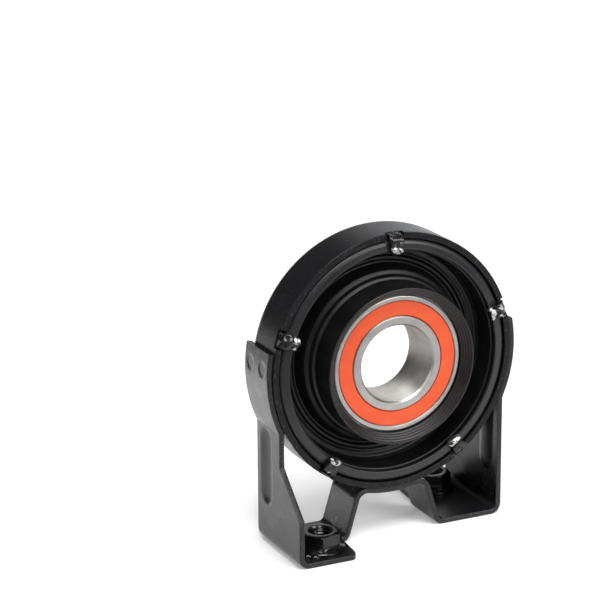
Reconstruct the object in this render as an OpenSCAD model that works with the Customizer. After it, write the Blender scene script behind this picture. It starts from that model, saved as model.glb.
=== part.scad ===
// Driveshaft centre bearing: a sealed ball bearing, carried in a rubber bellows inside a
// sheet-metal drum, on a folded bracket with two feet. Millimetres.
// The origin is on the ground under the middle of the part, +Z is up, and the shaft runs along Y
// with the clamp tabs at the front (-Y). The left foot reaches forward, the right one back.

/* [Bracket] */
// Height of the shaft axis above the ground
axis_height = 81.4; // [78:0.1:95]
// Thickness of the bracket's sheet
sheet = 2.5; // [1.8:0.1:3.2]
// Width of the strip that the bracket is folded from
strip_width = 23.4; // [18:0.1:26]
// Distance between the outer faces of the two outer legs
legs_apart = 111.6; // [104:0.2:116]
// Angle that the ears reach up the drum from the height of the shaft
ear_angle = 11; // [4:0.5:25]
// Outer radius of the bends at the feet
foot_bend = 5; // [4:0.1:7]
// Radius of the kink between an outer leg and its ear
kink_radius = 3; // [1.5:0.1:5]
// Inner radius of the bends beside the saddle
saddle_bend = 4; // [2:0.1:6]
// Distance between the inner legs where their undersides meet the ground
inner_legs_apart = 44.4; // [38:0.2:50]
// Lean of the inner legs from upright
inner_leg_lean = 16.5; // [10:0.5:22]

/* [Feet] */
// Distance from the middle of the strip to the front edge of the left foot
foot_reach = 31.8; // [30:0.1:40]
// Distance from the middle of the strip to the back edge of the right foot
back_reach = 37; // [36.6:0.1:44]
// Distance from the middle of the part to the free edge of a foot
foot_free_edge = 27.6; // [26:0.1:30]
// Radius of a foot's free corner
foot_corner = 3; // [1:0.1:5]
// Height of the upright edge of the flare at a foot
flare_low = 22.2; // [14:0.1:26]
// Height at which the flare starts
flare_high = 40.4; // [34:0.1:50]

/* [Pressed details] */
// Width of the bead pressed into each outer leg
bead_width = 12.4; // [8:0.1:14]
// Depth of the bead
bead_depth = 1.3; // [0.6:0.1:1.8]
// Width of the slope around the bead's floor
bead_slope = 1.6; // [0.8:0.1:2.4]
// Offset of the bead from the middle of the strip, away from the flare
bead_offset = 2; // [0:0.1:3]
// Height of the bead's lower end
bead_low = 18.8; // [16:0.1:24]
// Height of the bead's upper end
bead_high = 56; // [50:0.1:57]
// Diameter of the spot-weld dimples in the ears
dimple_diameter = 7.4; // [4:0.1:9]
// Depth of the spot-weld dimples
dimple_depth = 0.5; // [0.2:0.1:1]
// Distance between the two dimples of an ear
dimple_spacing = 12; // [10:0.1:14]
// Height of the dimples above the shaft axis
dimple_height = 3.5; // [0:0.1:6]

/* [Foot nuts] */
// Distance of a nut from the middle of the part, sideways
nut_side = 39.4; // [37:0.1:42]
// Distance of the left nut from the middle of the strip
nut_reach = 18.2; // [16:0.1:19]
// Distance of the right nut from the middle of the strip
back_nut_reach = 25.2; // [23:0.1:25.5]
// Width across the flats of a nut
nut_flats = 16; // [13:0.1:17]
// Height of a nut
nut_height = 8.5; // [6:0.1:12]
// Diameter of a nut's flange
nut_flange = 21.8; // [20:0.1:22]
// Thickness of the flange at its edge
nut_flange_edge = 1.4; // [0.8:0.1:2]
// Thread core diameter of a nut
nut_bore = 8.5; // [6:0.1:9]
// Turn of the left nut's corners from the sideways direction
nut_turn = 13; // [0:1:59]
// Turn of the right nut's corners from the sideways direction
back_nut_turn = 33; // [0:1:59]
// Steepness of the chamfer on a nut's corners
nut_chamfer_angle = 58; // [40:1:65]
// Chamfer at the mouth of a nut's thread
nut_mouth = 0.7; // [0.3:0.1:1]
// Clearance hole in the foot
bolt_hole = 11; // [10:0.1:13]
// Radius of the tack welds beside a nut
tack_radius = 1.7; // [1:0.1:1.9]
// Place of the first tack weld around a nut, from the sideways direction
tack_angle = 38; // [30:1:50]
// Angle between the two tack welds
tack_step_angle = 16; // [12:1:30]

/* [Drum] */
// Outer diameter of the drum
drum_diameter = 117.5; // [114:0.1:120]
// Wall of the drum
drum_wall = 2.9; // [2:0.1:3.2]
// Distance from the middle of the strip to the drum's front edge
drum_front = 12.6; // [12:0.1:14]
// Distance from the middle of the strip to the drum's back
drum_back = 11.5; // [11:0.1:14]
// Outer radius of the drum's back corner
drum_corner = 4; // [3.5:0.1:6]
// Diameter of the opening in the drum's back
back_opening = 94; // [92:0.5:98]
// Number of clamp tabs
tab_count = 5; // [3:1:8]
// Width of a clamp tab
tab_width = 6.6; // [5:0.1:8]
// Thickness of a clamp tab
tab_thickness = 2; // [1.4:0.1:2.4]
// Width of the slits beside a tab
tab_slit = 1.1; // [0.6:0.1:2]
// Depth of the slits beside a tab
tab_slit_depth = 3; // [2:0.1:5]
// Inner radius of a tab's bend
tab_bend_inner = 1.2; // [0.8:0.1:1.4]
// Distance of a tab's outer face inside the drum's outer face
tab_setback = 0.6; // [0.2:0.1:0.8]
// How far a tab reaches past the lip that it clamps
tab_overhang = 1.3; // [0.8:0.1:2]
// Height of the staked button at a tab's end
tab_button = 0.8; // [0.4:0.1:1.2]
// Diameter of the button as a share of the tab's width
button_share = 0.84; // [0.6:0.02:0.9]
// Angle of the first tab, from the right
first_tab = 90; // [0:1:180]

/* [Insert ring] */
// Wall of the insert ring
insert_wall = 2; // [1.2:0.1:2.5]
// Radial width of the lip under the tabs
lip_width = 5.2; // [4.6:0.1:6]
// Distance of the lip's outer edge behind the drum's front edge
lip_setback = 0.5; // [0.1:0.1:1]
// How far the lip's inner edge stands ahead of its outer edge
lip_rise = 0.9; // [0:0.1:1.2]
// Outer radius of the corner between the wall and the lip
lip_corner = 3; // [2.6:0.1:3.4]

/* [Rubber bellows] */
// Thickness of the folded web
web = 3.2; // [2.4:0.1:3.6]
// Place of the fold's crest, as a share of the way from the hub to the outer leg
crest_share = 0.484; // [0.46:0.002:0.5]
// Height of the crest ahead of the middle of the strip
crest_front = 10.4; // [8:0.1:12]
// Bend radius of the crest, at the middle of the web
crest_bend = 1.9; // [1.8:0.1:2]
// Depth of the outer valley's bend centre, behind the middle of the strip
valley_back = 0.5; // [0:0.1:3]
// Distance from the middle of the strip forward to the inner valley's bend centre
inner_valley = 4.5; // [2:0.1:5]
// Height of the raised seam along the crest
crest_seam = 0.5; // [0.2:0.1:0.8]
// Thickness of the outer leg that is bonded to the insert ring
outer_leg = 4; // [3:0.1:4.2]
// Rubber over the sleeve
hub_cover = 3.1; // [2.6:0.1:3.4]
// Distance from the bearing's face forward to the hub's rim
hub_rim = 4.8; // [4:0.1:6]
// Width of the rim's flat front
rim_flat = 1; // [0.6:0.1:1.4]
// Chamfer outside the rim
rim_chamfer = 0.5; // [0.2:0.1:0.8]
// Number of fine ridges inside the rim
rim_ridges = 4; // [3:1:5]
// Share of a ridge's width that slopes gently
ridge_slope = 0.9; // [0.6:0.05:0.95]
// Share of a ridge's height that the gentle slope takes
ridge_drop = 0.35; // [0.1:0.05:0.6]
// Gap between the bearing and the rubber's throat
throat_gap = 0.5; // [0.3:0.1:0.8]
// Height of the throat ahead of the bearing's face
throat_height = 0.6; // [0.4:0.1:1]
// Rubber past the back of the sleeve
hub_tail = 1.2; // [0.6:0.1:2]
// How far that rubber turns in behind the sleeve
tail_lap = 1; // [0.5:0.1:1.8]

/* [Bearing] */
// Outer diameter of the bearing
bearing_diameter = 62; // [58:0.1:64]
// Shaft bore
bore = 35; // [32:0.1:37]
// Distance from the middle of the strip to the bearing's front face
bearing_front = 15.5; // [14:0.1:17]
// Width of the outer ring
outer_width = 20; // [18:0.1:21]
// Width of the inner ring
inner_width = 23.5; // [22:0.1:24.5]
// Ball diameter as a share of the room between the bore and the outside
ball_share = 0.588; // [0.54:0.002:0.6]
// Distance from the pitch circle to the outer ring's shoulders, in ball radii
outer_shoulder = 0.668; // [0.62:0.002:0.72]
// Distance from the pitch circle to the inner ring's shoulders, in ball radii
inner_shoulder = 0.705; // [0.62:0.005:0.76]
// Radius of a raceway, in ball radii
raceway_share = 1.03; // [1.02:0.005:1.05]
// Wall of the outer ring outside a seal's seat
seat_wall = 2.1; // [1.8:0.1:2.4]
// Thickness of a seal
seal_thickness = 1.5; // [1:0.1:1.8]
// Depth of a seal's face below the ring's face
seal_inset = 0.3; // [0.1:0.1:0.6]
// Free depth behind a seal
seal_room = 0.4; // [0.2:0.1:0.6]
// Width of a seal's bead at its seat
seal_bead = 1.2; // [0.8:0.1:1.6]
// Width of a seal's lip
seal_lip = 1.1; // [0.8:0.1:1.4]
// Width of the slopes beside a seal's bead and lip
seal_slope = 0.5; // [0.3:0.1:0.7]
// Chamfer on the rings' corners
ring_chamfer = 0.9; // [0.4:0.1:1.2]
// Number of balls
ball_count = 11; // [8:1:11]
// Sheet of the ball cage
cage_sheet = 0.8; // [0.5:0.05:0.9]
// Half the width of the cage's band, in ball radii
cage_band = 0.5; // [0.4:0.02:0.56]
// Diameter of a cage rivet
rivet_diameter = 1.6; // [1:0.1:1.8]
// Diameter of a rivet's head, in rivet diameters
rivet_head = 1.8; // [1.4:0.1:2]
// Height of a rivet's head, in rivet diameters
rivet_crown = 0.4; // [0.2:0.1:0.6]
// Wall of the sleeve around the bearing
sleeve_wall = 1.5; // [1:0.1:2]
// Distance of the sleeve's front edge behind the bearing's face
sleeve_setback = 1.5; // [0.8:0.1:2.2]

/* [Fits] */
// Running play between a ball and a raceway
ball_play = 0.05; // [0.02:0.01:0.1]
// Play between a ball and its cage pocket
pocket_play = 0.15; // [0.05:0.01:0.25]
// Gap between a seal's lip and the inner ring
lip_play = 0.15; // [0.05:0.01:0.3]
// Gap left at pressed, bonded and welded faces
seat_gap = 0.03; // [0.01:0.01:0.08]

/* [Hidden] */
$fn = 96;
// How far a cutting shape runs past what it cuts
past = 1;
half_strip = strip_width / 2;
drum_r = drum_diameter / 2;
drum_inner_r = drum_r - drum_wall;
leg_x = legs_apart / 2;
inner_leg_x = inner_legs_apart / 2;

// The ears and the saddle wrap the drum between these two radii
wrap_in = drum_r + seat_gap;
wrap_out = wrap_in + sheet;

// Kink: touches the outer faces of the leg and of the ear
kink_x = leg_x + kink_radius;
kink_turn = [kink_x, axis_height - sqrt(pow(wrap_out + kink_radius, 2) - pow(kink_x, 2))];
kink_angle = atan2(axis_height - kink_turn[1], kink_x);
leg_inner_x = leg_x - sheet;

// Inner leg: its underside passes through the ground line and leans to the middle
lean = inner_leg_lean;
leg_dir = [-sin(lean), cos(lean)];
leg_out = [-cos(lean), -sin(lean)];
foot_turn_x = inner_leg_x + foot_bend * (1 - sin(lean)) / cos(lean);
foot_turn = [foot_turn_x, foot_bend];

// Bend beside the saddle: touches the inner leg's underside and the saddle's underside
shaft_point = [0, axis_height];
bend_start = [inner_leg_x, 0] + saddle_bend * leg_out - shaft_point;
bend_along = bend_start * leg_dir;
bend_reach = pow(wrap_out + saddle_bend, 2) - (bend_start * bend_start - bend_along * bend_along);
saddle_turn = shaft_point + bend_start + (-bend_along - sqrt(bend_reach)) * leg_dir;
saddle_angle = atan2(saddle_turn[0], axis_height - saddle_turn[1]);

// Drum, insert ring and tabs, measured along Y from the middle of the strip
back_face = drum_back - drum_wall;
insert_r = drum_inner_r - seat_gap;
insert_inner_r = insert_r - insert_wall;
insert_back = drum_back - drum_corner;
lip_front = lip_setback - drum_front;
lip_inner_r = insert_r - lip_width;
tab_back = lip_front - lip_rise - seat_gap;
tab_front = tab_back - tab_thickness;
tab_tip_r = lip_inner_r - tab_overhang;
tab_bend = tab_thickness + tab_bend_inner;
tab_root_r = drum_r - tab_setback;

// Bearing
bearing_r = bearing_diameter / 2;
bore_r = bore / 2;
face_y = -bearing_front;
outer_back = face_y + outer_width;
inner_back = face_y + inner_width;
ball_y = face_y + outer_width / 2;
pitch_r = (bearing_r + bore_r) / 2;
ball_diameter = ball_share * (bearing_r - bore_r);
ball_r = ball_diameter / 2;
raceway_r = ball_r * raceway_share;
raceway_shift = raceway_r - ball_r - ball_play;
outer_land_r = pitch_r + ball_r * outer_shoulder;
inner_land_r = pitch_r - ball_r * inner_shoulder;
seat_r = bearing_r - seat_wall;
seal_depth = seal_thickness + seal_inset + seal_room;
seal_r = seat_r - seat_gap;
seal_inner_r = inner_land_r + lip_play;
ball_step = 360 / ball_count;

// Sleeve and rubber
sleeve_front = face_y + sleeve_setback;
sleeve_in = bearing_r + seat_gap;
sleeve_r = sleeve_in + sleeve_wall;
sleeve_back = outer_back + seat_gap + sleeve_wall;
hub_in = sleeve_r + seat_gap;
hub_r = hub_in + hub_cover;
hub_front = face_y - hub_rim;
hub_back = sleeve_back + seat_gap + hub_tail;
rim_in = hub_r - rim_flat;
throat_r = bearing_r + throat_gap;
throat_y = face_y - throat_height;
outer_leg_out = insert_inner_r - seat_gap;
outer_leg_in = outer_leg_out - outer_leg;
crest_radius = round(50 * (hub_r + crest_share * (outer_leg_in - hub_r))) / 50;
crest_y = -crest_front + crest_bend + web / 2;
web_out_r = crest_radius + crest_bend;
web_in_r = crest_radius - crest_bend;

steel_black = "#1d1d1f";
rubber_black = "#111112";
ground_steel = "#b9bcc0";
seal_red = "#e8502f";
plated_steel = "#8f9296";

balls = [for (i = [1 : ball_count]) str("ball_", i)];

// Turn a profile of [radius, y] around the shaft axis
module about_shaft() {
    translate([0, 0, axis_height])
        rotate([-90, 0, 0])
            rotate_extrude()
                children();
}

// Place what is drawn around Z, with Z as the distance along the shaft
module on_shaft() {
    translate([0, 0, axis_height])
        rotate([-90, 0, 0])
            children();
}

// Carry an XZ section along Y
module along_shaft(from, to) {
    translate([0, to, 0])
        rotate([90, 0, 0])
            linear_extrude(to - from)
                children();
}

// Carry a YZ outline along X
module across(from, to) {
    translate([from, 0, 0])
        rotate([90, 0, 90])
            linear_extrude(to - from)
                children();
}

// Ring between two radii, from one angle to another, under half a turn
module ring_arc(inner, outer, from, to) {
    far = outer * 2;
    mid = (from + to) / 2;
    intersection() {
        difference() {
            circle(outer);
            circle(inner);
        }
        polygon([
            [0, 0],
            far * [cos(from), sin(from)],
            far * [cos(mid), sin(mid)],
            far * [cos(to), sin(to)]
        ]);
    }
}

// Points along an arc, and a list of points turned over to the other side, from its end
function arc(centre, radius, from, to, steps = 12) =
    [for (i = [0 : steps]) let (a = from + (to - from) * i / steps) centre + radius * [cos(a), sin(a)]];
function other_side(points) = [for (i = [len(points) - 1 : -1 : 0]) [-points[i][0], points[i][1]]];

// Section of the ear, the outer leg and the foot on the right
module outer_section() {
    foot_corner_turn = [leg_x - foot_bend, foot_bend];
    outside = concat(
        [[foot_turn_x, 0]],
        arc(foot_corner_turn, foot_bend, 270, 360),
        arc(kink_turn, kink_radius, 180, 180 - kink_angle),
        arc(shaft_point, wrap_out, -kink_angle, ear_angle, 24)
    );
    inside = concat(
        arc(shaft_point, wrap_in, ear_angle, -kink_angle, 24),
        arc(kink_turn, kink_radius + sheet, 180 - kink_angle, 180),
        arc(foot_corner_turn, foot_bend - sheet, 360, 270),
        [[foot_turn_x, sheet]]
    );
    polygon(concat(outside, inside));
}

// Section of both inner legs and the saddle between them, with a stub of each foot
module inner_section() {
    stub_x = foot_turn_x + foot_bend;
    below = concat(
        [[stub_x, 0]],
        arc(foot_turn, foot_bend, 270, 180 + lean),
        arc(saddle_turn, saddle_bend, lean, 90 + saddle_angle),
        arc(shaft_point, wrap_out, 270 + saddle_angle, 270)
    );
    above = concat(
        arc(shaft_point, wrap_in, 270, 270 + saddle_angle),
        arc(saddle_turn, saddle_bend + sheet, 90 + saddle_angle, lean),
        arc(foot_turn, foot_bend - sheet, 180 + lean, 270),
        [[stub_x, sheet]]
    );
    polygon(concat(below, other_side(below), other_side(above), above));
}

// Side outline of an outer leg with the flare to its foot
module leg_outline(reach) {
    top = axis_height + wrap_out;
    polygon([
        [-half_strip, -past],
        [reach, -past],
        [reach, flare_low],
        [half_strip, flare_high],
        [half_strip, top],
        [-half_strip, top]
    ]);
}

// Plan outline of a foot, with its free corner rounded
module foot_outline(reach) {
    far_x = wrap_out + sheet;
    corner = [foot_free_edge + foot_corner, reach - foot_corner];
    difference() {
        polygon([
            [foot_turn_x - foot_bend, -half_strip],
            [foot_turn_x - foot_bend, half_strip],
            [foot_turn_x, half_strip],
            [foot_free_edge, reach],
            [far_x, reach],
            [far_x, -half_strip]
        ]);
        translate(corner)
            difference() {
                translate([-2 * foot_corner, 0])
                    square(2 * foot_corner);
                circle(foot_corner);
            }
    }
}

// Bead: a trough with sloping sides and round ends, its mouth in the plane x = 0, sunk to -X
module bead_form(mouth_stretch) {
    mouth = bead_width / 2;
    floor_half = mouth - bead_slope;
    for (z = [bead_low + mouth, bead_high - mouth])
        translate([-bead_depth, 0, z])
            rotate([0, 90, 0]) {
                cylinder(h = bead_depth, r1 = floor_half, r2 = mouth);
                translate([0, 0, bead_depth])
                    cylinder(h = mouth_stretch, r = mouth);
            }
    translate([0, 0, bead_low + mouth])
        linear_extrude(bead_high - bead_low - bead_width)
            polygon([
                [-bead_depth, -floor_half],
                [0, -mouth],
                [mouth_stretch, -mouth],
                [mouth_stretch, mouth],
                [0, mouth],
                [-bead_depth, floor_half]
            ]);
}

// One outer leg with its ear, flare, foot, bead and dimples
module leg_and_ear(reach, bolt_reach) {
    difference() {
        union() {
            intersection() {
                along_shaft(-half_strip, reach)
                    outer_section();
                across(0, leg_x + wrap_out)
                    leg_outline(reach);
                linear_extrude(2 * axis_height)
                    foot_outline(reach);
            }
            translate([leg_inner_x, -bead_offset, 0])
                bead_form(sheet / 2);
        }
        translate([leg_x, -bead_offset, 0])
            bead_form(sheet);
        for (side = [-1, 1])
            translate([wrap_out - dimple_depth, side * dimple_spacing / 2, axis_height + dimple_height])
                rotate([0, 90, 0])
                    cylinder(h = 2 * dimple_depth, d = dimple_diameter);
        translate([nut_side, bolt_reach, -sheet])
            cylinder(h = 3 * sheet, d = bolt_hole);
    }
}

module bracket() {
    color(steel_black) {
        leg_and_ear(back_reach, back_nut_reach);
        rotate([0, 0, 180])
            leg_and_ear(foot_reach, nut_reach);
        along_shaft(-half_strip, half_strip)
            inner_section();
    }
}

// Flange nut with its tack welds, seated on the foot at the right
module foot_nut(turn) {
    flange_r = nut_flange / 2;
    skirt = nut_flange_edge + (nut_flange - nut_flats) / 4;
    tack_r = flange_r + tack_radius / 2;
    cone = nut_flats / 2 * tan(nut_chamfer_angle);
    difference() {
        union() {
            cylinder(h = nut_flange_edge, r = flange_r);
            translate([0, 0, nut_flange_edge])
                cylinder(h = skirt - nut_flange_edge, r1 = flange_r, r2 = nut_flats / 2);
            intersection() {
                rotate(turn)
                    cylinder(h = nut_height, d = nut_flats / cos(30), $fn = 6);
                translate([0, 0, nut_height - cone])
                    cylinder(h = cone, r1 = nut_flats, r2 = nut_flats / 2);
            }
            for (place = [tack_angle, tack_angle + tack_step_angle])
                translate(tack_r * [cos(place), sin(place), 0])
                    intersection() {
                        sphere(tack_radius);
                        cylinder(h = tack_radius, r = tack_radius);
                    }
        }
        translate([0, 0, -nut_mouth])
            cylinder(h = nut_height + 2 * nut_mouth, d = nut_bore);
        translate([0, 0, nut_height - nut_mouth])
            cylinder(h = 2 * nut_mouth, d1 = nut_bore, d2 = nut_bore + 4 * nut_mouth);
    }
}

module nut_right() {
    color(steel_black)
        translate([nut_side, back_nut_reach, sheet + seat_gap])
            foot_nut(back_nut_turn);
}

module nut_left() {
    color(steel_black)
        rotate([0, 0, 180])
            translate([nut_side, nut_reach, sheet + seat_gap])
                foot_nut(nut_turn);
}

// Half section of the drum: wall, back corner and turned-in back flange
module drum_section() {
    corner_y = drum_back - drum_corner;
    corner_r = drum_r - drum_corner;
    translate([drum_inner_r, -drum_front])
        square([drum_wall, drum_front + corner_y]);
    translate([corner_r, corner_y])
        ring_arc(drum_corner - drum_wall, drum_corner, 0, 90);
    translate([back_opening / 2, back_face])
        square([corner_r - back_opening / 2, drum_wall]);
}

// Side section of a clamp tab: root in the wall, bend, and the flat over the lip
module tab_section() {
    bend_y = tab_front + tab_bend;
    bend_r = tab_root_r - tab_bend;
    translate([tab_root_r - tab_thickness, bend_y])
        square([tab_thickness, tab_slit_depth - drum_front - bend_y]);
    translate([bend_r, bend_y])
        ring_arc(tab_bend - tab_thickness, tab_bend, 270, 360);
    translate([tab_tip_r, tab_front])
        square([bend_r - tab_tip_r, tab_thickness]);
}

// Front outline of a tab, with a round tip, running out along X
module tab_outline() {
    tip = tab_tip_r + tab_width / 2;
    translate([tip, 0])
        circle(d = tab_width);
    translate([tip, -tab_width / 2])
        square([drum_r - tip, tab_width]);
}

// One clamp tab along X, with the staked button at its tip
module clamp_tab() {
    button_r = tab_width * button_share / 2;
    ball = (button_r * button_r + tab_button * tab_button) / (2 * tab_button);
    intersection() {
        rotate([90, 0, 0])
            linear_extrude(tab_width, center = true)
                tab_section();
        translate([0, 0, tab_front - past])
            linear_extrude(drum_front)
                tab_outline();
    }
    intersection() {
        translate([tab_tip_r + tab_width / 2, 0, tab_front - tab_button + ball])
            sphere(ball);
        translate([tab_tip_r + tab_width / 2, 0, tab_front - tab_button])
            cylinder(h = tab_button + tab_thickness / 2, r = button_r);
    }
}

module drum() {
    notch = tab_width + 2 * tab_slit;
    color(steel_black) {
        difference() {
            about_shaft()
                drum_section();
            on_shaft()
                for (i = [0 : tab_count - 1])
                    rotate(-first_tab - i * 360 / tab_count)
                        translate([drum_inner_r - past, -notch / 2, -drum_front - past])
                            cube([drum_wall + 2 * past, notch, tab_slit_depth + past]);
        }
        on_shaft()
            for (i = [0 : tab_count - 1])
                rotate(-first_tab - i * 360 / tab_count)
                    clamp_tab();
    }
}

// Insert ring: wall against the drum, rounded corner and slightly dished lip
module insert_ring() {
    corner_r = insert_r - lip_corner;
    corner_y = lip_front + lip_corner;
    color(steel_black)
        about_shaft() {
            translate([insert_inner_r, corner_y])
                square([insert_wall, insert_back - corner_y]);
            translate([corner_r, corner_y])
                ring_arc(lip_corner - insert_wall, lip_corner, 270, 360);
            polygon([
                [corner_r, lip_front],
                [corner_r, lip_front + insert_wall],
                [lip_inner_r, lip_front - lip_rise + insert_wall],
                [lip_inner_r, lip_front - lip_rise]
            ]);
        }
}

// Rubber hub over the sleeve, with fine ridges in the flared mouth ahead of the bearing
module hub_section() {
    ridge = (rim_in - throat_r) / rim_ridges;
    ridge_step = (hub_rim - throat_height) / rim_ridges;
    mouth = [for (i = [0 : rim_ridges - 1], half = [0, 1])
        [throat_r + (i + half * ridge_slope) * ridge, throat_y - (i + half * ridge_drop) * ridge_step]
    ];
    translate([hub_in, sleeve_front])
        square([hub_cover, hub_back - sleeve_front]);
    translate([sleeve_in - tail_lap, sleeve_back + seat_gap])
        square([hub_r - sleeve_in + tail_lap, hub_tail]);
    polygon(concat(
        [[hub_r, sleeve_front + hub_cover], [hub_in, sleeve_front + hub_cover]],
        [[hub_in, sleeve_front - seat_gap], [throat_r, sleeve_front - seat_gap]],
        mouth,
        [[rim_in, hub_front], [hub_r - rim_chamfer, hub_front], [hub_r, hub_front + rim_chamfer]]
    ));
}

// Folded web between the hub and the insert ring
module web_section() {
    valley_in = web_out_r + web / 2;
    valley_bend = (outer_leg_in - valley_in) / 2;
    valley_mid = valley_in + valley_bend;
    inner_bend = (web_in_r - web / 2 - hub_r) / 2;
    inner_mid = hub_r + inner_bend;
    leg_top = lip_front + insert_wall + seat_gap;
    corner = lip_corner - insert_wall;
    translate([inner_mid, -inner_valley])
        ring_arc(inner_bend, inner_bend + web, 0, 90);
    translate([hub_r - hub_cover / 4, -inner_valley + inner_bend])
        square([inner_bend + hub_cover / 4, web]);
    translate([web_in_r - web / 2, crest_y])
        square([web, -inner_valley - crest_y]);
    translate([crest_radius, crest_y])
        ring_arc(crest_bend - web / 2, crest_bend + web / 2, 180, 270);
    translate([crest_radius, crest_y])
        ring_arc(crest_bend - web / 2, crest_bend + web / 2, 270, 360);
    translate([crest_radius, -crest_front])
        circle(crest_seam);
    translate([web_out_r - web / 2, crest_y])
        square([web, valley_back - crest_y]);
    translate([valley_mid, valley_back])
        ring_arc(valley_bend, valley_bend + web, 0, 90);
    translate([valley_mid, valley_back])
        ring_arc(valley_bend, valley_bend + web, 90, 180);
    polygon([
        [outer_leg_in, valley_back],
        [outer_leg_in, leg_top],
        [outer_leg_out - corner, leg_top],
        [outer_leg_out, leg_top + corner],
        [outer_leg_out, valley_back]
    ]);
}

module rubber_bellows() {
    color(rubber_black)
        about_shaft() {
            hub_section();
            web_section();
        }
}

// Steel cup around the bearing, turned in behind it
module inner_sleeve() {
    color(plated_steel)
        about_shaft() {
            translate([sleeve_in, sleeve_front])
                square([sleeve_wall, sleeve_back - sleeve_front]);
            translate([seat_r, outer_back + seat_gap])
                square([sleeve_r - seat_r, sleeve_wall]);
        }
}

// Square ring section with the two corners at one radius chamfered
module chamfered_section(inner, outer, from, to, inner_cut, outer_cut) {
    polygon([
        [inner + inner_cut, from],
        [outer - outer_cut, from],
        [outer, from + outer_cut],
        [outer, to - outer_cut],
        [outer - outer_cut, to],
        [inner + inner_cut, to],
        [inner, to - inner_cut],
        [inner, from + inner_cut]
    ]);
}

module outer_race() {
    seat_width = seat_r - outer_land_r;
    color(ground_steel)
        about_shaft()
            difference() {
                chamfered_section(outer_land_r, bearing_r, face_y, outer_back, 0, ring_chamfer);
                translate([pitch_r - raceway_shift, ball_y])
                    circle(raceway_r);
                for (y = [face_y - past, outer_back - seal_depth])
                    translate([outer_land_r - past, y])
                        square([seat_width + past, seal_depth + past]);
            }
}

module inner_race() {
    color(ground_steel)
        about_shaft()
            difference() {
                chamfered_section(bore_r, inner_land_r, face_y, inner_back, ring_chamfer, ring_chamfer / 3);
                translate([pitch_r + raceway_shift, ball_y])
                    circle(raceway_r);
            }
}

// Lip seal drawn for the front: bead in its seat, dished web and thicker lip
module seal_section() {
    face = face_y + seal_inset;
    back = face + seal_thickness;
    step = seal_thickness / 3;
    bead = seal_r - seal_bead;
    lip = seal_inner_r + seal_lip;
    polygon([
        [seal_r, face],
        [seal_r, back],
        [lip, back],
        [seal_inner_r, back - step],
        [seal_inner_r, face + step],
        [lip - seal_slope, face + step / 3],
        [lip, face + step],
        [bead, face + step / 2],
        [bead + seal_slope, face]
    ]);
}

module front_seal() {
    color(seal_red)
        about_shaft()
            seal_section();
}

module rear_seal() {
    color(seal_red)
        translate([0, 2 * ball_y, 0])
            mirror([0, 1, 0])
                about_shaft()
                    seal_section();
}

// Place one thing at each ball's place on the pitch circle, or between the balls
module round_pitch(offset_steps) {
    for (i = [1 : ball_count])
        rotate(-90 + (i + offset_steps) * ball_step)
            translate([pitch_r, 0, ball_y])
                children();
}

// Half of the cage: a pressed ribbon that cups each ball, on the front side of the balls
module cage_half() {
    pocket = ball_r + pocket_play;
    band = ball_r * cage_band;
    on_shaft()
        difference() {
            intersection() {
                union() {
                    round_pitch(0)
                        sphere(pocket + cage_sheet, $fn = 48);
                    translate([0, 0, ball_y - cage_sheet])
                        cylinder(h = cage_sheet, r = pitch_r + band);
                }
                translate([0, 0, ball_y - ball_diameter])
                    difference() {
                        cylinder(h = ball_diameter - seat_gap / 2, r = pitch_r + band);
                        translate([0, 0, -past])
                            cylinder(h = ball_diameter + 2 * past, r = pitch_r - band);
                    }
            }
            round_pitch(0)
                sphere(pocket, $fn = 48);
            round_pitch(0.5)
                cylinder(h = ball_diameter, d = rivet_diameter + 2 * seat_gap, center = true, $fn = 24);
        }
}

module cage_front() {
    color(plated_steel)
        cage_half();
}

module cage_rear() {
    color(plated_steel)
        translate([0, 2 * ball_y, 0])
            mirror([0, 1, 0])
                cage_half();
}

module cage_rivets() {
    head = rivet_diameter * rivet_head / 2;
    head_height = rivet_diameter * rivet_crown;
    grip = 2 * (cage_sheet + seat_gap);
    color(plated_steel)
        on_shaft()
            round_pitch(0.5) {
                cylinder(h = grip + head_height, d = rivet_diameter, center = true, $fn = 24);
                for (side = [-1, 1])
                    translate([0, 0, side * (grip + head_height) / 2])
                        cylinder(h = head_height, r = head, center = true, $fn = 24);
            }
}

// Ball number i on the pitch circle
module bearing_ball(i) {
    color(ground_steel)
        on_shaft()
            rotate(-90 + i * ball_step)
                translate([pitch_r, 0, ball_y])
                    sphere(ball_r, $fn = 48);
}

// The middle of the strip lies ahead of the middle of the part, because the right foot reaches further
module placed() {
    translate([0, (foot_reach - back_reach) / 2, 0])
        children();
}

placed() bracket();
placed() drum();
placed() insert_ring();
placed() rubber_bellows();
placed() inner_sleeve();
placed() outer_race();
placed() inner_race();
placed() front_seal();
placed() rear_seal();
placed() cage_front();
placed() cage_rear();
placed() cage_rivets();
placed() nut_left();
placed() nut_right();
for (i = [1 : ball_count])
    placed() bearing_ball(i);
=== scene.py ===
# %% [markdown]
# # Driveshaft centre bearing
# A sealed ball bearing sits in a rubber bellows, the bellows in a sheet-metal drum, and the drum on
# a folded bracket with two feet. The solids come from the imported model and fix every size. This
# lesson dresses them: most pieces are drawn again as numpy surfaces with the small radii, pressed
# beads and clamp tabs of the real part, and every surface gets a finish made of nodes.

# %% Load the solids
import math

import bpy
import numpy as np
from mathutils import Matrix


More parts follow.
